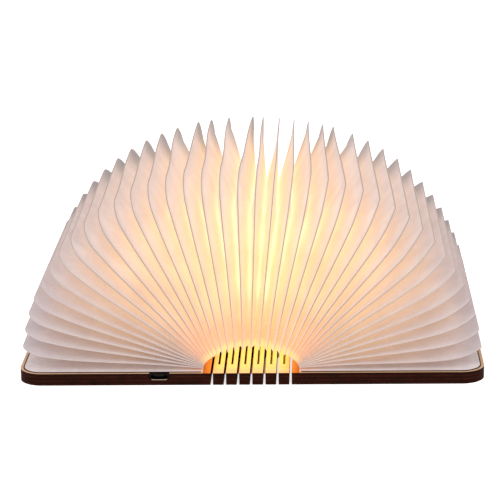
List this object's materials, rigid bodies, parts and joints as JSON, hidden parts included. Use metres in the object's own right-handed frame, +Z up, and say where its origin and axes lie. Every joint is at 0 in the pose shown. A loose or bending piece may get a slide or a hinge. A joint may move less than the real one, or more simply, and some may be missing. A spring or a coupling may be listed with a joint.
{
  "type": "folding book lamp",
  "caption": "Book-shaped lamp with two wooden covers joined by a kerf-cut spine, which open flat and fan out a lit paper bellows.",
  "frame": {"origin": "middle of the underside, on the spine's centre line, with the lamp open flat", "axes": "+X across the covers to the right, +Y along the spine away from the charging socket, +Z up through the pages"},
  "size_m": [0.187, 0.122, 0.0871],
  "materials": {
    "cover_wood": "light wood faces, dark laser-cut edges",
    "spine_wood": "light wood faces, dark laser-cut edges",
    "page_paper": "matte translucent sheet",
    "end_paper": "matte sheet",
    "magnet": "polished",
    "foam_pad": "matte",
    "strip_board": "white solder mask",
    "led": "yellow phosphor",
    "lead": "matte",
    "battery_foil": "satin",
    "circuit_board": "satin",
    "socket_steel": "satin",
    "chip": "matte"
  },
  "bodies": {
    "core": {"led_pad": "foam_pad", "led_strip": "strip_board", "leds": "led", "page_19": "page_paper"},
    "right_cover": {"right_cover": "cover_wood", "right_end_paper": "end_paper", "right_magnets": "magnet"},
    "left_cover": {"left_cover": "cover_wood", "left_end_paper": "end_paper", "left_magnets": "magnet", "battery": "battery_foil", "battery_lead": "lead", "charge_board": "circuit_board", "usb_socket": "socket_steel", "hall_switch": "chip", "led_lead": "lead"},
    "spine_block_1": {"spine_block_1": "spine_wood"},
    "spine_block_2": {"spine_block_2": "spine_wood"},
    "spine_block_3": {"spine_block_3": "spine_wood"},
    "spine_block_4": {"spine_block_4": "spine_wood"},
    "spine_block_5": {"spine_block_5": "spine_wood"},
    "spine_block_6": {"spine_block_6": "spine_wood"},
    "page_01": {"page_01": "page_paper"},
    "page_02": {"page_02": "page_paper"},
    "page_03": {"page_03": "page_paper"},
    "page_04": {"page_04": "page_paper"},
    "page_05": {"page_05": "page_paper"},
    "page_06": {"page_06": "page_paper"},
    "page_07": {"page_07": "page_paper"},
    "page_08": {"page_08": "page_paper"},
    "page_09": {"page_09": "page_paper"},
    "page_10": {"page_10": "page_paper"},
    "page_11": {"page_11": "page_paper"},
    "page_12": {"page_12": "page_paper"},
    "page_13": {"page_13": "page_paper"},
    "page_14": {"page_14": "page_paper"},
    "page_15": {"page_15": "page_paper"},
    "page_16": {"page_16": "page_paper"},
    "page_17": {"page_17": "page_paper"},
    "page_18": {"page_18": "page_paper"},
    "page_20": {"page_20": "page_paper"},
    "page_21": {"page_21": "page_paper"},
    "page_22": {"page_22": "page_paper"},
    "page_23": {"page_23": "page_paper"},
    "page_24": {"page_24": "page_paper"},
    "page_25": {"page_25": "page_paper"},
    "page_26": {"page_26": "page_paper"},
    "page_27": {"page_27": "page_paper"},
    "page_28": {"page_28": "page_paper"},
    "page_29": {"page_29": "page_paper"},
    "page_30": {"page_30": "page_paper"},
    "page_31": {"page_31": "page_paper"},
    "page_32": {"page_32": "page_paper"},
    "page_33": {"page_33": "page_paper"},
    "page_34": {"page_34": "page_paper"},
    "page_35": {"page_35": "page_paper"},
    "page_36": {"page_36": "page_paper"},
    "page_37": {"page_37": "page_paper"}
  },
  "joints": [
    {"name": "right_cover_fold", "type": "hinge", "parent": "core", "child": "right_cover", "pos_m": [0.00904, 0, 0.00536], "axis": [0, -1, 0], "range_deg": [0, 90], "deforming": ["page_19"]},
    {"name": "left_cover_fold", "type": "hinge", "parent": "core", "child": "left_cover", "pos_m": [-0.00904, 0, 0.00536], "axis": [0, -1, 0], "range_deg": [-90, 0], "deforming": ["led_lead"]},
    {"name": "spine_block_1_fold", "type": "hinge", "parent": "core", "child": "spine_block_1", "pos_m": [-0.00633, 0, 0.00411], "axis": [0, -1, 0], "range_deg": [-64.29, 0]},
    {"name": "spine_block_2_fold", "type": "hinge", "parent": "core", "child": "spine_block_2", "pos_m": [-0.00351, 0, 0.0033], "axis": [0, -1, 0], "range_deg": [-38.57, 0]},
    {"name": "spine_block_3_fold", "type": "hinge", "parent": "core", "child": "spine_block_3", "pos_m": [0, 0, 0.0029], "axis": [0, -1, 0], "range_deg": [-12.86, 0]},
    {"name": "spine_block_4_fold", "type": "hinge", "parent": "core", "child": "spine_block_4", "pos_m": [0, 0, 0.0029], "axis": [0, -1, 0], "range_deg": [0, 12.86]},
    {"name": "spine_block_5_fold", "type": "hinge", "parent": "core", "child": "spine_block_5", "pos_m": [0.00351, 0, 0.0033], "axis": [0, -1, 0], "range_deg": [0, 38.57]},
    {"name": "spine_block_6_fold", "type": "hinge", "parent": "core", "child": "spine_block_6", "pos_m": [0.00633, 0, 0.00411], "axis": [0, -1, 0], "range_deg": [0, 64.29]},
    {"name": "page_01_fold", "type": "hinge", "parent": "core", "child": "page_01", "pos_m": [-0.01017, 0, 0.00445], "axis": [0, -1, 0], "range_deg": [-87.57, 0], "deforming": ["page_01"]},
    {"name": "page_02_fold", "type": "hinge", "parent": "core", "child": "page_02", "pos_m": [-0.01002, 0, 0.00449], "axis": [0, -1, 0], "range_deg": [-82.7, 0], "deforming": ["page_02"]},
    {"name": "page_03_fold", "type": "hinge", "parent": "core", "child": "page_03", "pos_m": [-0.00972, 0, 0.00457], "axis": [0, -1, 0], "range_deg": [-77.84, 0], "deforming": ["page_03"]},
    {"name": "page_04_fold", "type": "hinge", "parent": "core", "child": "page_04", "pos_m": [-0.00931, 0, 0.00466], "axis": [0, -1, 0], "range_deg": [-72.97, 0], "deforming": ["page_04"]},
    {"name": "page_05_fold", "type": "hinge", "parent": "core", "child": "page_05", "pos_m": [-0.00883, 0, 0.00474], "axis": [0, -1, 0], "range_deg": [-68.11, 0], "deforming": ["page_05"]},
    {"name": "page_06_fold", "type": "hinge", "parent": "core", "child": "page_06", "pos_m": [-0.00829, 0, 0.00481], "axis": [0, -1, 0], "range_deg": [-63.24, 0], "deforming": ["page_06"]},
    {"name": "page_07_fold", "type": "hinge", "parent": "core", "child": "page_07", "pos_m": [-0.00772, 0, 0.00487], "axis": [0, -1, 0], "range_deg": [-58.38, 0], "deforming": ["page_07"]},
    {"name": "page_08_fold", "type": "hinge", "parent": "core", "child": "page_08", "pos_m": [-0.00713, 0, 0.00493], "axis": [0, -1, 0], "range_deg": [-53.52, 0], "deforming": ["page_08"]},
    {"name": "page_09_fold", "type": "hinge", "parent": "core", "child": "page_09", "pos_m": [-0.00652, 0, 0.00497], "axis": [0, -1, 0], "range_deg": [-48.65, 0], "deforming": ["page_09"]},
    {"name": "page_10_fold", "type": "hinge", "parent": "core", "child": "page_10", "pos_m": [-0.00589, 0, 0.005], "axis": [0, -1, 0], "range_deg": [-43.78, 0], "deforming": ["page_10"]},
    {"name": "page_11_fold", "type": "hinge", "parent": "core", "child": "page_11", "pos_m": [-0.00526, 0, 0.00503], "axis": [0, -1, 0], "range_deg": [-38.92, 0], "deforming": ["page_11"]},
    {"name": "page_12_fold", "type": "hinge", "parent": "core", "child": "page_12", "pos_m": [-0.00461, 0, 0.00505], "axis": [0, -1, 0], "range_deg": [-34.05, 0], "deforming": ["page_12"]},
    {"name": "page_13_fold", "type": "hinge", "parent": "core", "child": "page_13", "pos_m": [-0.00396, 0, 0.00507], "axis": [0, -1, 0], "range_deg": [-29.19, 0], "deforming": ["page_13"]},
    {"name": "page_14_fold", "type": "hinge", "parent": "core", "child": "page_14", "pos_m": [-0.00331, 0, 0.00509], "axis": [0, -1, 0], "range_deg": [-24.32, 0], "deforming": ["page_14"]},
    {"name": "page_15_fold", "type": "hinge", "parent": "core", "child": "page_15", "pos_m": [-0.00265, 0, 0.0051], "axis": [0, -1, 0], "range_deg": [-19.46, 0], "deforming": ["page_15"]},
    {"name": "page_16_fold", "type": "hinge", "parent": "core", "child": "page_16", "pos_m": [-0.00199, 0, 0.00511], "axis": [0, -1, 0], "range_deg": [-14.6, 0], "deforming": ["page_16"]},
    {"name": "page_17_fold", "type": "hinge", "parent": "core", "child": "page_17", "pos_m": [-0.00133, 0, 0.00511], "axis": [0, -1, 0], "range_deg": [-9.73, 0], "deforming": ["page_17"]},
    {"name": "page_18_fold", "type": "hinge", "parent": "core", "child": "page_18", "pos_m": [-0.00066, 0, 0.00512], "axis": [0, -1, 0], "range_deg": [-4.87, 0], "deforming": ["page_18"]},
    {"name": "page_20_fold", "type": "hinge", "parent": "core", "child": "page_20", "pos_m": [0.00066, 0, 0.00512], "axis": [0, -1, 0], "range_deg": [0, 4.87], "deforming": ["page_20"]},
    {"name": "page_21_fold", "type": "hinge", "parent": "core", "child": "page_21", "pos_m": [0.00133, 0, 0.00511], "axis": [0, -1, 0], "range_deg": [0, 9.73], "deforming": ["page_21"]},
    {"name": "page_22_fold", "type": "hinge", "parent": "core", "child": "page_22", "pos_m": [0.00199, 0, 0.00511], "axis": [0, -1, 0], "range_deg": [0, 14.6], "deforming": ["page_22"]},
    {"name": "page_23_fold", "type": "hinge", "parent": "core", "child": "page_23", "pos_m": [0.00265, 0, 0.0051], "axis": [0, -1, 0], "range_deg": [0, 19.46], "deforming": ["page_23"]},
    {"name": "page_24_fold", "type": "hinge", "parent": "core", "child": "page_24", "pos_m": [0.00331, 0, 0.00509], "axis": [0, -1, 0], "range_deg": [0, 24.32], "deforming": ["page_24"]},
    {"name": "page_25_fold", "type": "hinge", "parent": "core", "child": "page_25", "pos_m": [0.00396, 0, 0.00507], "axis": [0, -1, 0], "range_deg": [0, 29.19], "deforming": ["page_25"]},
    {"name": "page_26_fold", "type": "hinge", "parent": "core", "child": "page_26", "pos_m": [0.00461, 0, 0.00505], "axis": [0, -1, 0], "range_deg": [0, 34.05], "deforming": ["page_26"]},
    {"name": "page_27_fold", "type": "hinge", "parent": "core", "child": "page_27", "pos_m": [0.00526, 0, 0.00503], "axis": [0, -1, 0], "range_deg": [0, 38.92], "deforming": ["page_27"]},
    {"name": "page_28_fold", "type": "hinge", "parent": "core", "child": "page_28", "pos_m": [0.00589, 0, 0.005], "axis": [0, -1, 0], "range_deg": [0, 43.78], "deforming": ["page_28"]},
    {"name": "page_29_fold", "type": "hinge", "parent": "core", "child": "page_29", "pos_m": [0.00652, 0, 0.00497], "axis": [0, -1, 0], "range_deg": [0, 48.65], "deforming": ["page_29"]},
    {"name": "page_30_fold", "type": "hinge", "parent": "core", "child": "page_30", "pos_m": [0.00713, 0, 0.00493], "axis": [0, -1, 0], "range_deg": [0, 53.52], "deforming": ["page_30"]},
    {"name": "page_31_fold", "type": "hinge", "parent": "core", "child": "page_31", "pos_m": [0.00772, 0, 0.00487], "axis": [0, -1, 0], "range_deg": [0, 58.38], "deforming": ["page_31"]},
    {"name": "page_32_fold", "type": "hinge", "parent": "core", "child": "page_32", "pos_m": [0.00829, 0, 0.00481], "axis": [0, -1, 0], "range_deg": [0, 63.24], "deforming": ["page_32"]},
    {"name": "page_33_fold", "type": "hinge", "parent": "core", "child": "page_33", "pos_m": [0.00883, 0, 0.00474], "axis": [0, -1, 0], "range_deg": [0, 68.11], "deforming": ["page_33"]},
    {"name": "page_34_fold", "type": "hinge", "parent": "core", "child": "page_34", "pos_m": [0.00931, 0, 0.00466], "axis": [0, -1, 0], "range_deg": [0, 72.97], "deforming": ["page_34"]},
    {"name": "page_35_fold", "type": "hinge", "parent": "core", "child": "page_35", "pos_m": [0.00972, 0, 0.00457], "axis": [0, -1, 0], "range_deg": [0, 77.84], "deforming": ["page_35"]},
    {"name": "page_36_fold", "type": "hinge", "parent": "core", "child": "page_36", "pos_m": [0.01002, 0, 0.00449], "axis": [0, -1, 0], "range_deg": [0, 82.7], "deforming": ["page_36"]},
    {"name": "page_37_fold", "type": "hinge", "parent": "core", "child": "page_37", "pos_m": [0.01017, 0, 0.00445], "axis": [0, -1, 0], "range_deg": [0, 87.57], "deforming": ["page_37"]}
  ],
  "couplings": [
    {"joint": "left_cover_fold", "follows": "right_cover_fold", "ratio": -1},
    {"joint": "spine_block_1_fold", "follows": "right_cover_fold", "ratio": -0.71429},
    {"joint": "spine_block_2_fold", "follows": "right_cover_fold", "ratio": -0.42857},
    {"joint": "spine_block_3_fold", "follows": "right_cover_fold", "ratio": -0.14286},
    {"joint": "spine_block_4_fold", "follows": "right_cover_fold", "ratio": 0.14286},
    {"joint": "spine_block_5_fold", "follows": "right_cover_fold", "ratio": 0.42857},
    {"joint": "spine_block_6_fold", "follows": "right_cover_fold", "ratio": 0.71429},
    {"joint": "page_01_fold", "follows": "right_cover_fold", "ratio": -0.97297},
    {"joint": "page_02_fold", "follows": "right_cover_fold", "ratio": -0.91892},
    {"joint": "page_03_fold", "follows": "right_cover_fold", "ratio": -0.86486},
    {"joint": "page_04_fold", "follows": "right_cover_fold", "ratio": -0.81081},
    {"joint": "page_05_fold", "follows": "right_cover_fold", "ratio": -0.75676},
    {"joint": "page_06_fold", "follows": "right_cover_fold", "ratio": -0.7027},
    {"joint": "page_07_fold", "follows": "right_cover_fold", "ratio": -0.64865},
    {"joint": "page_08_fold", "follows": "right_cover_fold", "ratio": -0.59459},
    {"joint": "page_09_fold", "follows": "right_cover_fold", "ratio": -0.54054},
    {"joint": "page_10_fold", "follows": "right_cover_fold", "ratio": -0.48649},
    {"joint": "page_11_fold", "follows": "right_cover_fold", "ratio": -0.43243},
    {"joint": "page_12_fold", "follows": "right_cover_fold", "ratio": -0.37838},
    {"joint": "page_13_fold", "follows": "right_cover_fold", "ratio": -0.32432},
    {"joint": "page_14_fold", "follows": "right_cover_fold", "ratio": -0.27027},
    {"joint": "page_15_fold", "follows": "right_cover_fold", "ratio": -0.21622},
    {"joint": "page_16_fold", "follows": "right_cover_fold", "ratio": -0.16216},
    {"joint": "page_17_fold", "follows": "right_cover_fold", "ratio": -0.10811},
    {"joint": "page_18_fold", "follows": "right_cover_fold", "ratio": -0.054054},
    {"joint": "page_20_fold", "follows": "right_cover_fold", "ratio": 0.054054},
    {"joint": "page_21_fold", "follows": "right_cover_fold", "ratio": 0.10811},
    {"joint": "page_22_fold", "follows": "right_cover_fold", "ratio": 0.16216},
    {"joint": "page_23_fold", "follows": "right_cover_fold", "ratio": 0.21622},
    {"joint": "page_24_fold", "follows": "right_cover_fold", "ratio": 0.27027},
    {"joint": "page_25_fold", "follows": "right_cover_fold", "ratio": 0.32432},
    {"joint": "page_26_fold", "follows": "right_cover_fold", "ratio": 0.37838},
    {"joint": "page_27_fold", "follows": "right_cover_fold", "ratio": 0.43243},
    {"joint": "page_28_fold", "follows": "right_cover_fold", "ratio": 0.48649},
    {"joint": "page_29_fold", "follows": "right_cover_fold", "ratio": 0.54054},
    {"joint": "page_30_fold", "follows": "right_cover_fold", "ratio": 0.59459},
    {"joint": "page_31_fold", "follows": "right_cover_fold", "ratio": 0.64865},
    {"joint": "page_32_fold", "follows": "right_cover_fold", "ratio": 0.7027},
    {"joint": "page_33_fold", "follows": "right_cover_fold", "ratio": 0.75676},
    {"joint": "page_34_fold", "follows": "right_cover_fold", "ratio": 0.81081},
    {"joint": "page_35_fold", "follows": "right_cover_fold", "ratio": 0.86486},
    {"joint": "page_36_fold", "follows": "right_cover_fold", "ratio": 0.91892},
    {"joint": "page_37_fold", "follows": "right_cover_fold", "ratio": 0.97297}
  ]
}
